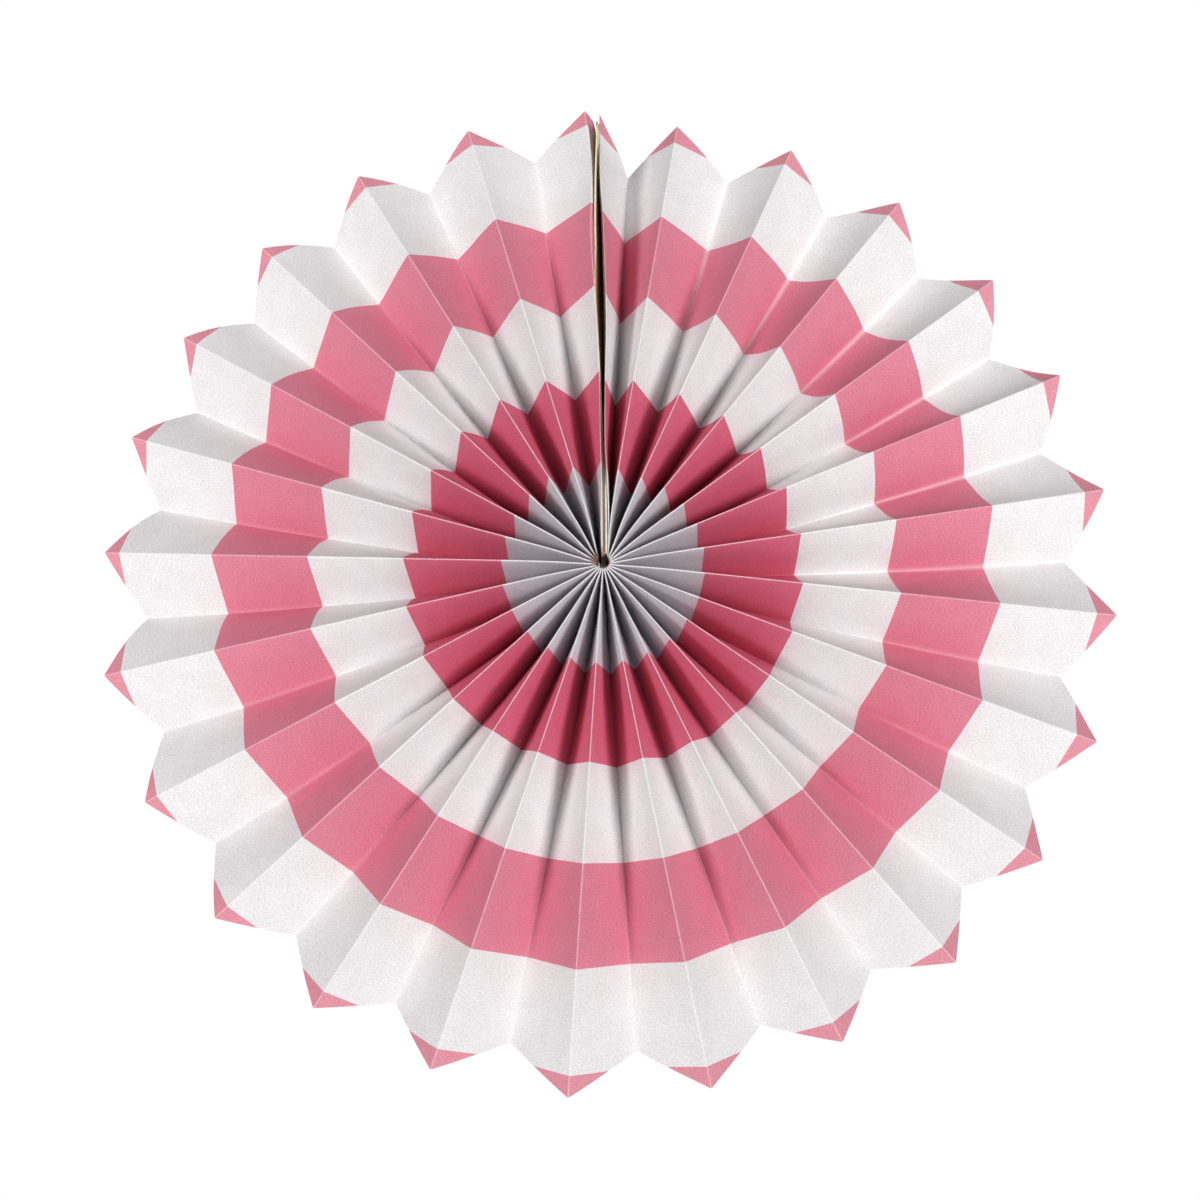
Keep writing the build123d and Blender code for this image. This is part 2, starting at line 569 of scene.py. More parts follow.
def along(rows: tuple[tuple[float, ...], ...], station: float) -> list[float]:
    """Read a smooth line through rows of values that are given at stations.

    Args:
        rows: Rows of numbers, each with its station first, in rising order.
        station: Where to read, in the same unit as the rows' first numbers.

    Returns:
        The other numbers of a row, at that station.
    """
    place = min(max(station, rows[0][0]), rows[-1][0])
    last = len(rows) - 2
    span = next((i for i in range(last + 1) if place <= rows[i + 1][0]), last)
    before, after = rows[max(span - 1, 0)], rows[min(span + 2, last + 1)]
    first, second = rows[span], rows[span + 1]
    length = second[0] - first[0]
    t = (place - first[0]) / length
    values = []
    for a, b, c, d in zip(before[1:], first[1:], second[1:], after[1:]):
        leave = (c - a) / (second[0] - before[0]) * length
        arrive = (d - b) / (after[0] - first[0]) * length
        values.append(
            b * (2 * t**3 - 3 * t**2 + 1)
            + c * (3 * t**2 - 2 * t**3)
            + leave * (t**3 - 2 * t**2 + t)
            + arrive * (t**3 - t**2)
        )
    return values


def punch_round_hole(
    sheet: BMesh,
    centre: Vector,
    radius: float,
    sides: int = 20,
    cut_reach: float = 2.6,
) -> None:
    """Punch a round hole through a flat sheet that lies in the XY plane.

    Args:
        sheet: The flat sheet.
        centre: The hole's centre.
        radius: The hole's radius.
        sides: How many straight cuts go round the hole.
        cut_reach: How far out faces are cut, as a multiple of the radius.
    """
    reach = cut_reach * radius
    outs = [
        Vector((math.cos(2 * math.pi * i / sides), math.sin(2 * math.pi * i / sides), 0))
        for i in range(sides)
    ]
    for out in outs:
        near = [f for f in sheet.faces if (f.calc_center_median() - centre).length < reach]
        edges = {edge for face in near for edge in face.edges}
        verts = {vert for face in near for vert in face.verts}
        bmesh.ops.bisect_plane(
            sheet,
            geom=[*verts, *edges, *near],
            dist=WELD,
            plane_co=centre + out * radius,
            plane_no=out,
        )
    inside = [
        face
        for face in sheet.faces
        if all((face.calc_center_median() - centre).dot(out) < radius for out in outs)
    ]
    bmesh.ops.delete(sheet, geom=inside, context="FACES")


def keep_cut_edges_sharp(sheet: BMesh) -> None:
    """Shade a sheet smooth, but not round its cut edges.

    Args:
        sheet: The sheet, before it gets its thickness.
    """
    for face in sheet.faces:
        face.smooth = True
    for edge in sheet.edges:
        edge.smooth = not edge.is_boundary


def make_object(name: str, shape: BMesh, materials: list[Material]) -> Object:
    """Turn a finished shape into an object of the scene.

    Args:
        name: The object's name.
        shape: Its shape, already in place. It is freed.
        materials: Its materials, in slot order.

    Returns:
        The new object.
    """
    mesh = bpy.data.meshes.new(name)
    shape.to_mesh(mesh)
    shape.free()
    for material in materials:
        mesh.materials.append(material)
    made = bpy.data.objects.new(name, mesh)
    bpy.context.scene.collection.objects.link(made)
    return made


def add_sheet(
    name: str, shape: BMesh, materials: list[Material], thickness: float
) -> tuple[Object, SolidifyModifier]:
    """Make a piece of a bent sheet, let it ride on the body and report it.

    Args:
        name: The piece's name.
        shape: The middle of the sheet's thickness, already in place.
        materials: Its materials, in slot order.
        thickness: The sheet's thickness.

    Returns:
        The new object, and the modifier that gives it its thickness.
    """
    piece = make_object(name, shape, materials)
    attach(piece, "root")
    thick = piece.modifiers.new(f"{name}_thickness", "SOLIDIFY")
    thick.thickness = thickness
    thick.offset = 0.0
    LOG.info("%s: %d faces", name, len(piece.data.polygons))
    return piece, thick


@dataclass(frozen=True)
class SeamLine:
    """What the seam looks like at one station, in metres.

    The left fold, the outer faces of the two boards' front edges and the right fold are given
    by X. The swing is the depth in which the left end panel comes over to its board, the
    setbacks are the depths of the boards' front edges, the rear is the X of the middle of the
    boards' rear edges, and the gap is what lies open between those.
    """

    left_fold: float
    left_board: float
    right_board: float
    right_fold: float
    swing: float
    left_setback: float
    right_setback: float
    rear: float
    gap: float

    def fold(self, side: Side) -> float:
        """Give the X of the fold on one side."""
        return self.left_fold if side is Side.LEFT else self.right_fold

    def board(self, side: Side) -> float:
        """Give the X of the outer face of one board's front edge."""
        return self.left_board if side is Side.LEFT else self.right_board

    def setback(self, side: Side) -> float:
        """Give the depth of one board's front edge."""
        return self.left_setback if side is Side.LEFT else self.right_setback


@dataclass(frozen=True)
class FoldLay:
    """How one mountain fold departs from its even place.

    The drift is how far it was left turned when the fan was opened by hand, in degrees. The
    slip is how far it slid in towards the hub when the thread was pulled tight, and the cut is
    how much longer its tip was cut, both in mm.
    """

    drift: float
    slip: float
    cut: float


@dataclass(frozen=True)
class PleatPlan:
    """Where every fold of the strip lies. The sizes are the CAD's, in metres and degrees."""

    tip_radius: float = 0.150
    zigzag_depth: float = 0.009
    hub_radius: float = 0.003
    pleat_depth_at_rim: float = 0.0109
    paper: float = 0.0002
    pleat_count: int = 25
    tight_pleat_angle: float = 9.9
    sag_angle: float = 0.35
    dish: float = 0.0055
    board: float = 0.00055
    glue: float = 0.00005
    tape: float = 0.0005
    seam_spread: float = 0.0011
    hang_hole_diameter: float = 0.003
    hang_hole_height: float = 0.134
    hang_hole_to_rear_edge: float = 0.0041
    # The mountain folds, from the seam's right side round to its left
    folds: tuple[FoldLay, ...] = tuple(
        FoldLay(*lay)
        for lay in (
            (0.0, 2.5, 1.9), (-0.14, 1.5, 1.35), (0.05, 2.05, 0.55), (0.33, 1.2, 0.85),
            (0.61, 0.55, 1.2), (0.08, 0.2, 0.9), (0.02, 0.2, 1.0), (0.17, 0.2, 0.8),
            (0.11, 0.15, 1.0), (-0.09, 0.1, 0.9), (-0.24, 0.0, 0.55), (-0.25, 0.0, 0.8),
            (-0.41, 0.0, 0.9), (-0.17, 0.0, 0.8), (-0.14, 0.1, 0.8), (-0.7, 0.2, 0.3),
            (-0.76, 0.15, -0.15), (-0.13, 0.2, -1.0), (0.72, 0.35, 0.1), (0.69, 0.5, -0.5),
            (0.45, 0.6, -0.05), (-0.37, 0.6, -0.05), (-0.23, 0.5, -0.35), (0.15, -0.3, 0.05),
            (0.28, -0.1, 0.55), (0.0, -0.7, 0.25),
        )
    )
    # At the thread nothing slid, and this far out all of a fold's slip is there
    slip_reach: float = 0.025
    # The first full fold right of the seam lies back from the others towards its tip
    back_fold: int = 1
    back_at_tip: float = 0.0046
    # The thread was pulled tight a little to the right of the middle
    hub_shift: float = 0.0004
    hub_shift_reach: float = 0.04
    # The boards push the folds aside at the hub, and in full again this far out
    push_at_hub: float = 0.011
    push_in_full: float = 0.100
    # The seam bows between the hub and the tips, where the boards meet again. Each row is a
    # station and a SeamLine there, all in mm.
    seam: tuple[tuple[float, ...], ...] = (
        (2, 0.12, 0.62, 1.72, 1.95, 1.2, 1.2, 0.0, 0.9, 0.05),
        (10, 0.15, 0.72, 1.88, 2.30, 1.2, 1.2, 0.0, 1.1, 0.15),
        (19, 0.44, 0.80, 1.95, 2.45, 1.3, 1.4, 0.4, 1.3, 0.5),
        (27, 0.62, 0.72, 2.00, 2.30, 1.3, 2.4, 1.5, 1.5, 0.5),
        (38, 0.52, 0.58, 1.78, 1.90, 1.4, 4.5, 5.0, 1.8, 0.5),
        (50, 0.67, 0.48, 2.02, 2.16, 1.4, 4.0, 5.5, 2.1, 0.5),
        (62, 0.66, 0.30, 2.48, 2.62, 1.4, 2.0, 5.5, 2.4, 0.5),
        (75, 0.42, -0.12, 3.04, 3.18, 1.5, 1.2, 5.0, 2.8, 0.5),
        (88, -0.12, -0.45, 3.27, 3.41, 1.6, 1.0, 4.0, 3.0, 0.5),
        (104, -0.82, 0.06, 3.05, 3.18, 1.8, 1.0, 4.0, 3.0, 0.5),
        (114, -0.74, 0.26, 2.92, 3.06, 2.0, 0.6, 4.0, 2.9, 0.5),
        (125, -0.14, 0.72, 2.45, 2.58, 3.0, -0.6, 4.0, 2.7, 0.3),
        (132, -0.04, 1.12, 2.36, 2.48, 4.0, -1.6, 3.0, 2.4, 0.1),
        (140, -0.60, 1.55, 2.66, 2.76, 6.0, -2.2, 0.0, 2.2, 0.05),
        (150, -1.90, 1.70, 2.80, 2.90, 7.0, -2.4, -2.2, 2.2, 0.05),
    )

    @property
    def seam_half_width(self) -> float:
        """Half the distance between the two folds beside the seam, at the hub."""
        return self.tape / 2 + self.board + self.glue + self.paper

    @property
    def seam_angle(self) -> float:
        """Angle of the fold right of the seam."""
        return math.degrees(math.asin(self.seam_spread / self.tip_radius))

    @property
    def even_pleat_angle(self) -> float:
        """Angle of each pleat but the tight one."""
        rest = 360 - 2 * self.seam_angle - self.tight_pleat_angle
        return rest / (self.pleat_count - 1)

    @property
    def valley_end_radius(self) -> float:
        """Distance from the hub at which the valley folds are cut."""
        return self.tip_radius - self.zigzag_depth

    @property
    def panel_width(self) -> float:
        """Width of a panel, from fold to fold."""
        half_pleat = self.valley_end_radius * math.sin(math.radians(self.even_pleat_angle / 2))
        return math.hypot(half_pleat, self.pleat_depth_at_rim)

    @property
    def panel_count(self) -> int:
        """Panels in the strip: two for each pleat, and one on each end board."""
        return 2 * self.pleat_count + 2

    @property
    def hang_hole_depth(self) -> float:
        """Distance of the hanging hole behind the folds beside the seam."""
        return self.panel_width - self.hang_hole_to_rear_edge

    def seam_line(self, station: float) -> SeamLine:
        """Give the seam's sizes at a distance from the hub."""
        return SeamLine(*(value * MM for value in along(self.seam, station / MM)))

    def fold_angle(self, fold: int) -> float:
        """Give a mountain fold's angle, clockwise from twelve o'clock seen from the front.

        Args:
            fold: Number of the mountain fold.

        Returns:
            The angle in degrees.
        """
        if fold == 0:
            return self.seam_angle
        if fold == self.pleat_count:
            return 360 - self.seam_angle
        even = self.seam_angle + self.tight_pleat_angle + self.even_pleat_angle * (fold - 1)
        return even + self.sag_angle * math.sin(math.radians(even)) + self.folds[fold].drift

    def slip(self, fold: int, station: float) -> float:
        """Give how far a point of a fold slid in, which is nothing at the thread."""
        return self.folds[fold].slip * MM * smooth_step(station / self.slip_reach)

    def mountain(self, fold: int, station: float) -> Vector:
        """Give a point on a mountain fold.

        Args:
            fold: Number of the mountain fold.
            station: Distance from the hub along the strip's width.

        Returns:
            The point, on the front of the paper.
        """
        station -= self.slip(fold, station)
        depth = self.crest(station)
        if fold in (0, self.pleat_count):
            side = Side.LEFT if fold else Side.RIGHT
            x = self.seam_line(station).fold(side)
            return Vector((x, depth, self.seam_height(station)))
        if fold == self.back_fold:
            depth += self.back_at_tip * (station / self.tip_radius) ** 2
        angle = math.radians(self.fold_angle(fold))
        turn = min(max(fold - 1, 0), self.pleat_count - 2) / (self.pleat_count - 2)
        push = math.exp(-((station / self.push_at_hub) ** 2)) + station / self.push_in_full
        aside = self.seam_half_width * (1 - 2 * turn) * push
        x = station * math.sin(angle) + aside * math.cos(angle)
        x += self.hub_shift * math.exp(-station / self.hub_shift_reach)
        z = station * math.cos(angle) - aside * math.sin(angle)
        return Vector((x, depth, z))

    def nose(self, half_pleat: float) -> float:
        """Give how far the paper's thickness widens a fold, for half a pleat's width."""
        lean = math.asin(min(half_pleat / self.panel_width, 1.0))
        return self.paper * math.tan((math.pi / 2 - lean) / 2)

    def valley(self, pleat: int, station: float) -> Vector:
        """Give a point on a valley fold, a panel's width behind both of its mountain folds.

        Args:
            pleat: Number of the pleat.
            station: Distance from the hub along the strip's width.

        Returns:
            The point, on the front of the paper.
        """
        first, second = self.mountain(pleat, station), self.mountain(pleat + 1, station)
        half_pleat = (second - first).length / 2
        across = (second - first).normalized()
        behind = (Vector((0, 1, 0)) - across * across.y).normalized()
        rise = math.sqrt(self.panel_width**2 - max(half_pleat - self.nose(half_pleat), 0.0) ** 2)
        return (first + second) / 2 + behind * rise

    def seam_height(self, station: float) -> float:
        """Give the height of a point of the boards, which didn't slide."""
        angle = math.radians(self.seam_angle)
        return station * math.cos(angle) - self.seam_half_width * math.sin(angle)

    def crest(self, station: float) -> float:
        """Give the depth of the front of the mountain folds."""
        return (self.dish - self.panel_width) / 2 - self.dish * station / self.tip_radius

    def seam_point(self, side: Side, station: float, depth: float, inset: float) -> Vector:
        """Give a point of the seam beside a board.

        Args:
            side: Which board.
            station: Distance from the hub.
            depth: Distance behind the folds.
            inset: Distance from the board's outer face towards the seam's middle.

        Returns:
            The point in space.
        """
        line = self.seam_line(station)
        front = line.board(side)
        rear = line.rear + side.value * (line.gap / 2 + self.board)
        x = front + (rear - front) * depth / self.panel_width - side.value * inset
        return Vector((x, self.crest(station) + depth, self.seam_height(station)))


@dataclass
class PleatedSheet:
    """The one sheet of paper: cut as a flat strip, folded, and opened round the hub."""

    plan: PleatPlan
    printed: PrintedPaper = PrintedPaper()
    plain: PlainPaper = PlainPaper()
    # Where the mesh's lines stand across a panel, close together beside its folds
    columns: tuple[float, ...] = (0.0, 0.012, 0.05, 0.16, 0.33, 0.5, 0.67, 0.84, 0.95, 0.988)
    rows: int = 44
    # The strip starts nearer the middle than the CAD's open hub, which the thread pulled tight
    inner_edge: float = 0.0018
    waviness: float = 0.0002
    # The panels are flat up to the first distance from the hub, and bulge in full at the second
    bulge_start: float = 0.020
    bulge_full: float = 0.100
    seed: int = 7
    # How far a panel bulges forward, in mm, by its pleat's angle: first for the panels that
    # fall from their mountain fold, clockwise, and then for those that rise to the next one
    bulges: tuple[tuple[float, ...], ...] = (
        (0, 0.2, 0.1), (20, 0.5, -0.5), (40, 1.3, -1.2), (60, 1.4, -1.3), (80, 1.0, -1.0),
        (100, 0.5, -0.4), (130, 0.2, -0.1), (180, 0.1, 0.1), (240, 0.2, 0.2),
        (265, 0.9, 0.1), (290, 1.2, 0.1), (320, 0.8, 0.1), (360, 0.2, 0.1),
    )

    def fold_kind(self, line: int) -> Fold:
        """Say what happens at a crease line of the strip.

        Args:
            line: Number of the line, counted from the strip's right end.

        Returns:
            The kind of fold there.
        """
        if line in (0, self.plan.panel_count):
            return Fold.FREE_EDGE
        return Fold.MOUNTAIN if line % 2 else Fold.VALLEY

    def outer_cut(self, panel: int, across: float) -> float:
        """Give the zigzag cut's distance from the hub.

        Args:
            panel: Number of the panel along the strip.
            across: Share of the way from the panel's first crease to its second.

        Returns:
            The distance along the strip's width.
        """
        from_tip = across if self.fold_kind(panel) is Fold.MOUNTAIN else 1 - across
        tip = self.plan.tip_radius + self.plan.folds[panel // 2].cut * MM
        return tip + (self.plan.valley_end_radius - tip) * from_tip

    def end_panel_point(self, side: Side, station: float, depth: float) -> Vector:
        """Give a point of an end panel, which swings in from its fold and lies on its board.

        Args:
            side: Which end board the panel lies on.
            station: Distance from the hub.
            depth: Distance behind the fold.

        Returns:
            The point at the middle of the paper's thickness.
        """
        plan = self.plan
        outset = plan.glue + plan.paper / 2
        fold = plan.pleat_count if side is Side.LEFT else 0
        station -= plan.slip(fold, station) * (1 - depth / plan.panel_width) ** 2
        point = plan.seam_point(side, station, depth, -outset)
        line = plan.seam_line(station)
        swing = max(1 - depth / line.swing, 0.0) ** 2
        point.x += (line.fold(side) - (line.board(side) + side.value * outset)) * swing
        point.y += plan.paper / 2 * swing
        return point

    def fold(self, flat: Vector, bows: list[tuple[float, float]]) -> Vector:
        """Move a point of the flat strip to where it lies in the folded fan.

        Args:
            flat: The point: X along the strip, Y across it from the hub edge.
            bows: The bulge and the wave of each panel.

        Returns:
            The point at the middle of the paper's thickness.
        """
        plan = self.plan
        panel = min(int(flat.x / plan.panel_width + ROUNDING), plan.panel_count - 1)
        across = min(max(flat.x / plan.panel_width - panel, 0.0), 1.0)
        station = flat.y
        if panel == 0:
            return self.end_panel_point(Side.RIGHT, station, (1 - across) * plan.panel_width)
        if panel == plan.panel_count - 1:
            return self.end_panel_point(Side.LEFT, station, across * plan.panel_width)
        pleat = (panel - 1) // 2
        falls = panel % 2 == 1
        top = plan.mountain(pleat if falls else pleat + 1, station)
        low = plan.valley(pleat, station)
        aside = Vector((low.x - top.x, 0.0, low.z - top.z))
        outward = Vector((low.x, 0.0, low.z)).normalized()
        inward = aside.normalized() * plan.nose(aside.length) / 2
        top.y += plan.paper / 2
        low.y += plan.paper / 2
        down = across if falls else 1 - across
        crown = Vector((0, plan.paper / 4, 0))
        if down < AT_CREASE:
            return top - crown
        if down > 1 - AT_CREASE:
            return low + crown
        point = (top + inward).lerp(low - inward, down)
        forward = (low - top).normalized().cross(outward).normalized()
        if forward.y > 0:
            forward.negate()
        reach = (station - self.bulge_start) / (self.bulge_full - self.bulge_start)
        bulge, wave = bows[panel]
        lift = bulge * math.sin(math.pi * down) + wave * math.sin(2 * math.pi * down)
        return point + forward * lift * smooth_step(reach)

    def bows(self) -> list[tuple[float, float]]:
        """Give each panel its bulge and a slight wave of its own.

        Returns:
            The bulge and the wave of each panel, in metres.
        """
        chance = random.Random(self.seed)
        values = []
        for panel in range(self.plan.panel_count):
            pleat = min(max((panel - 1) // 2, 0), self.plan.pleat_count - 1)
            angle = (self.plan.fold_angle(pleat) + self.plan.fold_angle(pleat + 1)) / 2
            falls, rises = along(self.bulges, angle)
            bulge = (falls if panel % 2 else rises) * MM * chance.uniform(0.8, 1.2)
            values.append((bulge, chance.uniform(-1.0, 1.0) * self.waviness))
        return values

    def cut_strip(self) -> BMesh:
        """Cut the flat strip, with its zigzag edge and the two hanging holes.

        Returns:
            The strip in the XY plane: X along it, Y across it from the hub edge.
        """
        plan = self.plan
        per_panel = len(self.columns)
        across_count = plan.panel_count * per_panel
        strip = bmesh.new()
        bmesh.ops.create_grid(strip, x_segments=across_count, y_segments=self.rows, size=1.0)
        for vert in strip.verts:
            column = round((vert.co.x + 1) / 2 * across_count)
            row = (vert.co.y + 1) / 2
            panel = min(column // per_panel, plan.panel_count - 1)
            step = column - panel * per_panel
            across = 1.0 if step == per_panel else self.columns[step]
            outer = self.outer_cut(panel, across)
            station = self.inner_edge + row * (outer - self.inner_edge)
            vert.co = Vector(((panel + across) * plan.panel_width, station, 0.0))
        right = plan.panel_width - plan.hang_hole_depth
        left = (plan.panel_count - 1) * plan.panel_width + plan.hang_hole_depth
        for x in (right, left):
            centre = Vector((x, plan.hang_hole_height, 0.0))
            punch_round_hole(strip, centre, plan.hang_hole_diameter / 2)
        return strip

    def build(self) -> Object:
        """Cut the flat strip and fold it.

        Returns:
            The sheet, with its UV map laid out flat in metres.
        """
        strip = self.cut_strip()
        layer = strip.loops.layers.uv.new("strip")
        for face in strip.faces:
            for loop in face.loops:
                loop[layer].uv = loop.vert.co.xy
        keep_cut_edges_sharp(strip)
        bows = self.bows()
        for vert in strip.verts:
            vert.co = self.fold(vert.co, bows)
        strip.normal_update()
        if sum(face.normal.y * face.calc_area() for face in strip.faces) > 0:
            bmesh.ops.reverse_faces(strip, faces=strip.faces[:])
        printed = self.printed.build(self.plan.panel_width, self.plan.tip_radius)
        materials = [printed, self.plain.build()]
        sheet, thick = add_sheet("folded_paper", strip, materials, self.plan.paper)
        thick.use_even_offset = False
        thick.material_offset = 1
        thick.material_offset_rim = 1
        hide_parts("pleated_sheet")
        return sheet


@dataclass
class EndBoards:
    """The two stiff boards that stand edge-on in the seam, each glued on an end panel."""

    plan: PleatPlan
    face: RecycledBoard = BOARD_FACE
    edge: RecycledBoard = BOARD_EDGE
    # How far the boards end short of the paper's tips
    end_margin: float = 0.0045
    columns: int = 10
    rows: int = 48

    def build_board(self, side: Side, materials: list[Material]) -> Object:
        """Cut one board flat, punch it and lay it along its end panel.

        Args:
            side: Which board.
            materials: The face's and the cut edge's material.

        Returns:
            The board.
        """
        plan = self.plan
        plate = bmesh.new()
        bmesh.ops.create_grid(plate, x_segments=self.columns, y_segments=self.rows, size=1.0)
        for vert in plate.verts:
            share = (vert.co.x + 1) / 2
            outer = plan.tip_radius - self.end_margin - plan.zigzag_depth * share
            station = plan.hub_radius + (vert.co.y + 1) / 2 * (outer - plan.hub_radius)
            setback = plan.seam_line(station).setback(side)
            vert.co = Vector((setback + share * (plan.panel_width - setback), station, 0.0))
        centre = Vector((plan.hang_hole_depth, plan.hang_hole_height, 0.0))
        punch_round_hole(plate, centre, plan.hang_hole_diameter / 2)
        for vert in plate.verts:
            vert.co = plan.seam_point(side, vert.co.y, vert.co.x, plan.board / 2)
        bmesh.ops.recalc_face_normals(plate, faces=plate.faces[:])
        keep_cut_edges_sharp(plate)
        name = f"card_{side.name.lower()}"
        board, thick = add_sheet(name, plate, materials, plan.board)
        thick.material_offset_rim = 1
        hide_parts(f"end_board_{side.name.lower()}")
        return board

    def build(self) -> None:
        """Make both boards."""
        materials = [self.face.build(), self.edge.build()]
        for side in Side:
            self.build_board(side, materials)


@dataclass
class BindingThread:
    """The thread through the inner ends of the pleats, knotted in the open hub."""

    finish: TwistedThread = TwistedThread()
    radius: float = 0.0002
    ring_radius: float = 0.0055
    ring_points: int = 16
    depth: float = -0.0025
    # The knot is a trefoil, a little deeper than it is wide
    knot_size: float = 0.00030
    knot_depth: float = 1.4
    knot_points: int = 18
    knot_place: tuple[float, float, float] = (0.0004, -0.0045, 0.0)
    # The two ends come down side by side in the seam, sway above the knot and part below it
    seam_x: float = 0.0011
    ends_apart: float = 0.0002
    sway: tuple[float, float, float] = (0.0002, 0.0, 0.0012)
    parting: tuple[float, float, float] = (0.0009, -0.0013, -0.0012)

    def add_strand(self, curve: Curve, points: list[Vector], closed: bool) -> None:
        """Lay one smooth strand through a few control points.

        Args:
            curve: The curve that gets the strand.
            points: The strand's control points.
            closed: Whether its ends join.
        """
        strand = curve.splines.new("NURBS")
        strand.points.add(len(points) - 1)
        for place, point in zip(strand.points, points):
            place.co = (*point, 1.0)
        strand.use_cyclic_u = closed
        strand.use_endpoint_u = not closed
        strand.order_u = 4 if len(points) > 3 else 3

    def turns(self, count: int) -> list[float]:
        """Give evenly spaced angles round a full turn, in radians."""
        return [2 * math.pi * i / count for i in range(count)]

    def build(self) -> Object:
        """Make the ring, the knot and its two short ends.

        Returns:
            The thread, as one curve with a round section.
        """
        curve = bpy.data.curves.new("linen_thread", "CURVE")
        curve.dimensions = "3D"
        curve.bevel_depth = self.radius
        curve.bevel_resolution = 3
        curve.resolution_u = 6
        curve.use_fill_caps = True
        ring = [
            Vector((self.ring_radius * math.sin(a), self.depth, self.ring_radius * math.cos(a)))
            for a in self.turns(self.ring_points)
        ]
        self.add_strand(curve, ring, True)
        centre = Vector(self.knot_place)
        knot = []
        for a in self.turns(self.knot_points):
            x = math.sin(a) + 2 * math.sin(2 * a)
            z = math.cos(a) - 2 * math.cos(2 * a)
            place = Vector((x, self.knot_depth * math.sin(3 * a), z))
            knot.append(centre + self.knot_size * place)
        self.add_strand(curve, knot, True)
        for side in Side:
            mirror = Vector((side.value, 1, 1))
            top = Vector((self.seam_x, self.depth, self.ring_radius))
            top.x += side.value * self.ends_apart / 2
            sway = Vector(self.sway) * mirror
            end = centre + Vector(self.parting) * mirror
            self.add_strand(curve, [top, centre + sway * 2, centre + sway, centre, end], False)
        thread = bpy.data.objects.new("linen_thread", curve)
        bpy.context.scene.collection.objects.link(thread)
        curve.materials.append(self.finish.build())
        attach(thread, "root")
        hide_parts("binding_thread")
        LOG.info("linen_thread: %d strands", len(curve.splines))
        return thread


@dataclass
class ClosingTape:
    """The strip of foam tape between the boards' rear edges, which follows their bow."""

    plan: PleatPlan
    finish: FoamTape = FoamTape()
    start: float = 0.014
    end: float = 0.122
    width: float = 0.006
    rows: int = 30

    def build(self) -> Object:
        """Lay the strip in the middle of the gap between the two boards.

        Returns:
            The tape.
        """
        plan = self.plan
        tape = bmesh.new()
        bmesh.ops.create_grid(tape, x_segments=3, y_segments=self.rows, size=1.0)
        for vert in tape.verts:
            depth = plan.panel_width - (1 - vert.co.x) / 2 * self.width
            station = self.start + (vert.co.y + 1) / 2 * (self.end - self.start)
            left = plan.seam_point(Side.LEFT, station, depth, plan.board)
            right = plan.seam_point(Side.RIGHT, station, depth, plan.board)
            vert.co = (left + right) / 2
        bmesh.ops.recalc_face_normals(tape, faces=tape.faces[:])
        keep_cut_edges_sharp(tape)
        strip, _ = add_sheet("foam_strip", tape, [self.finish.build()], plan.tape)
        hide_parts("closing_tape")
        return strip


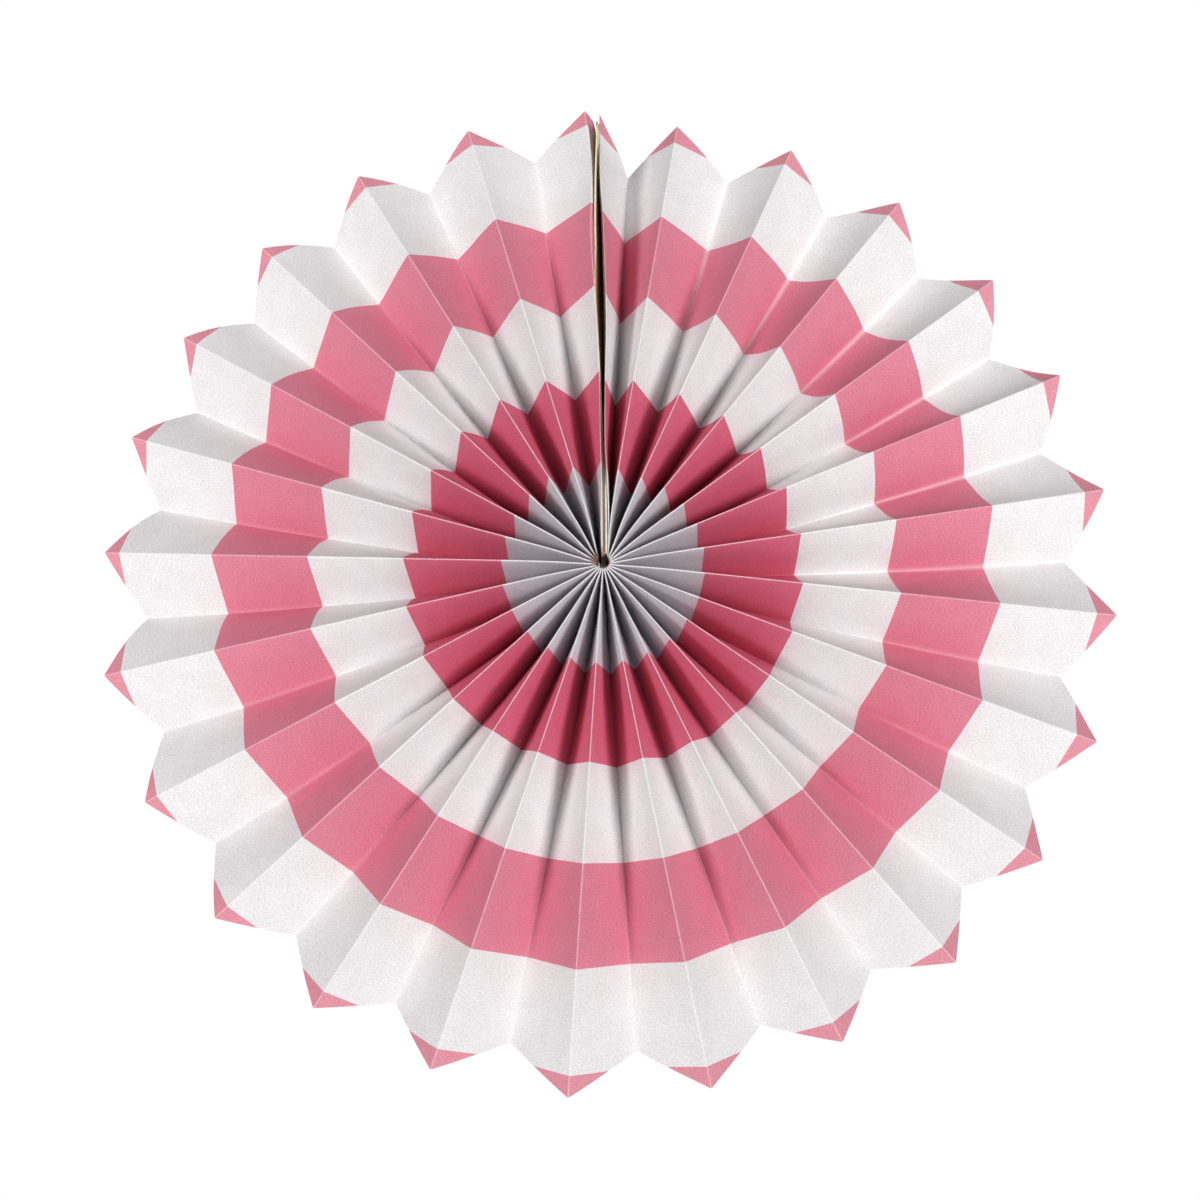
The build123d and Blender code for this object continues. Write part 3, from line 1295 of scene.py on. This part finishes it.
@dataclass
class Studio:
    """White surroundings, soft lamps at the disc's height, and the photograph's camera."""

    # The pale floor lies this far below the hub
    floor_drop: float = 0.90
    floor_size: float = 5.0
    floor_colour: str = "f4f4f4"
    # The camera sees the floor this much lighter below the disc, and as white as the
    # surroundings at its edge. Nothing is lit by that.
    floor_glow: float = 0.5
    world_strength: float = 0.04
    lamp_distance: float = 1.4
    lamp_size: float = 0.35
    # Each lamp's turn round the disc from the front, its rise, both in degrees, and its watts
    lamps: tuple[tuple[str, float, float, float], ...] = (
        ("low_lamp", 12.0, -22.0, 1.9),
        ("right_lamp", 38.0, -7.0, 11.7),
        ("left_lamp", -44.0, -4.0, 9.5),
        ("back_right_lamp", 140.0, 10.0, 12.0),
        ("back_left_lamp", -140.0, 10.0, 12.0),
    )
    # The camera's place and its turns in radians, as fitted to the folds in the photograph
    eye: tuple[float, float, float] = (0.00664, -0.37209, -0.1025)
    yaw: float = 0.02045
    pitch: float = 0.24406
    roll: float = 0.02359
    # Focal length and sensor width in mm
    lens: float = 37.74
    sensor: float = 36.0

    def paint(self) -> Material:
        """Make the floor's paint, which takes shadows and fades into the white surroundings.

        Returns:
            The material. Its glow shows the floor lighter and lights nothing.
        """
        floor = Surface("studio_paint")
        tree = floor.tree
        distance = add_node(tree, "VectorMath", {}, {0: floor.place}, operation="LENGTH")
        fade = add_node(
            tree,
            "MapRange",
            dict(zip(RANGE, (self.floor_drop, self.floor_size / 2, self.floor_glow, 1.0))),
            {"Value": distance.outputs["Value"]},
            interpolation_type="SMOOTHSTEP",
        )
        seen = seen_directly(tree)
        glow = add_node(tree, "Math", {}, {0: fade, 1: seen}, operation="MULTIPLY")
        look = {
            "Base Color": linear(self.floor_colour),
            "Roughness": 0.9,
            "Emission Color": linear("ffffff"),
        }
        finish_surface(tree, look, {"Emission Strength": glow})
        return floor.material

    def build_floor(self) -> None:
        """Lay a pale floor well below the disc."""
        floor = bmesh.new()
        bmesh.ops.create_grid(floor, x_segments=1, y_segments=1, size=self.floor_size / 2)
        bmesh.ops.translate(floor, verts=floor.verts, vec=(0, 0, -self.floor_drop))
        piece = make_object("studio_floor", floor, [self.paint()])

    def build_world(self) -> None:
        """Surround the scene with even light, and show it as white to the camera."""
        world = bpy.data.worlds.new("studio_world")
        bpy.context.scene.world = world
        world.use_nodes = True
        tree = world.node_tree
        tree.nodes.clear()
        white = linear("ffffff")
        light, backdrop = (
            add_node(tree, "Background", {"Color": white, "Strength": strength})
            for strength in (self.world_strength, 1.0)
        )
        seen = seen_directly(tree)
        mix = add_node(tree, "MixShader", {}, {0: seen, 1: light, 2: backdrop})
        add_node(tree, "OutputWorld", {}, {"Surface": mix})

    def build_lights(self) -> None:
        """Hang three soft lamps in front of the disc and two behind it, all facing the hub."""
        for name, turn, rise, power in self.lamps:
            lamp = bpy.data.lights.new(name, "AREA")
            lamp.size = self.lamp_size
            lamp.energy = power
            round_disc, up = math.radians(turn), math.radians(rise)
            place = Vector((math.sin(round_disc), -math.cos(round_disc), math.tan(up)))
            piece = bpy.data.objects.new(name, lamp)
            piece.location = place * self.lamp_distance
            piece.rotation_euler = (-place).to_track_quat("-Z", "Y").to_euler()
            bpy.context.scene.collection.objects.link(piece)

    def build_camera(self) -> None:
        """Set up the camera, which looks along +Y before its turns."""
        data = bpy.data.cameras.new("camera")
        data.lens = self.lens
        data.sensor_width = self.sensor
        data.dof.use_dof = False
        camera = bpy.data.objects.new("camera", data)
        turn = (
            Matrix.Rotation(self.yaw, 4, "Z")
            @ Matrix.Rotation(self.pitch, 4, "X")
            @ Matrix.Rotation(self.roll, 4, "Y")
            @ Matrix.Rotation(math.pi / 2, 4, "X")
        )
        camera.matrix_world = Matrix.Translation(self.eye) @ turn
        bpy.context.scene.collection.objects.link(camera)
        bpy.context.scene.camera = camera

    def build(self) -> None:
        """Set up floor, world, lamps and camera."""
        self.build_floor()
        self.build_world()
        self.build_lights()
        self.build_camera()
        bpy.context.scene.view_settings.view_transform = "Standard"


def main() -> None:
    """Build the rosette and its studio."""
    logging.basicConfig(level=logging.INFO, format="%(name)s %(message)s")
    plan = PleatPlan()
    Studio().build()
    PleatedSheet(plan).build()
    EndBoards(plan).build()
    BindingThread().build()
    ClosingTape(plan).build()


if __name__ == "__main__":
    main()
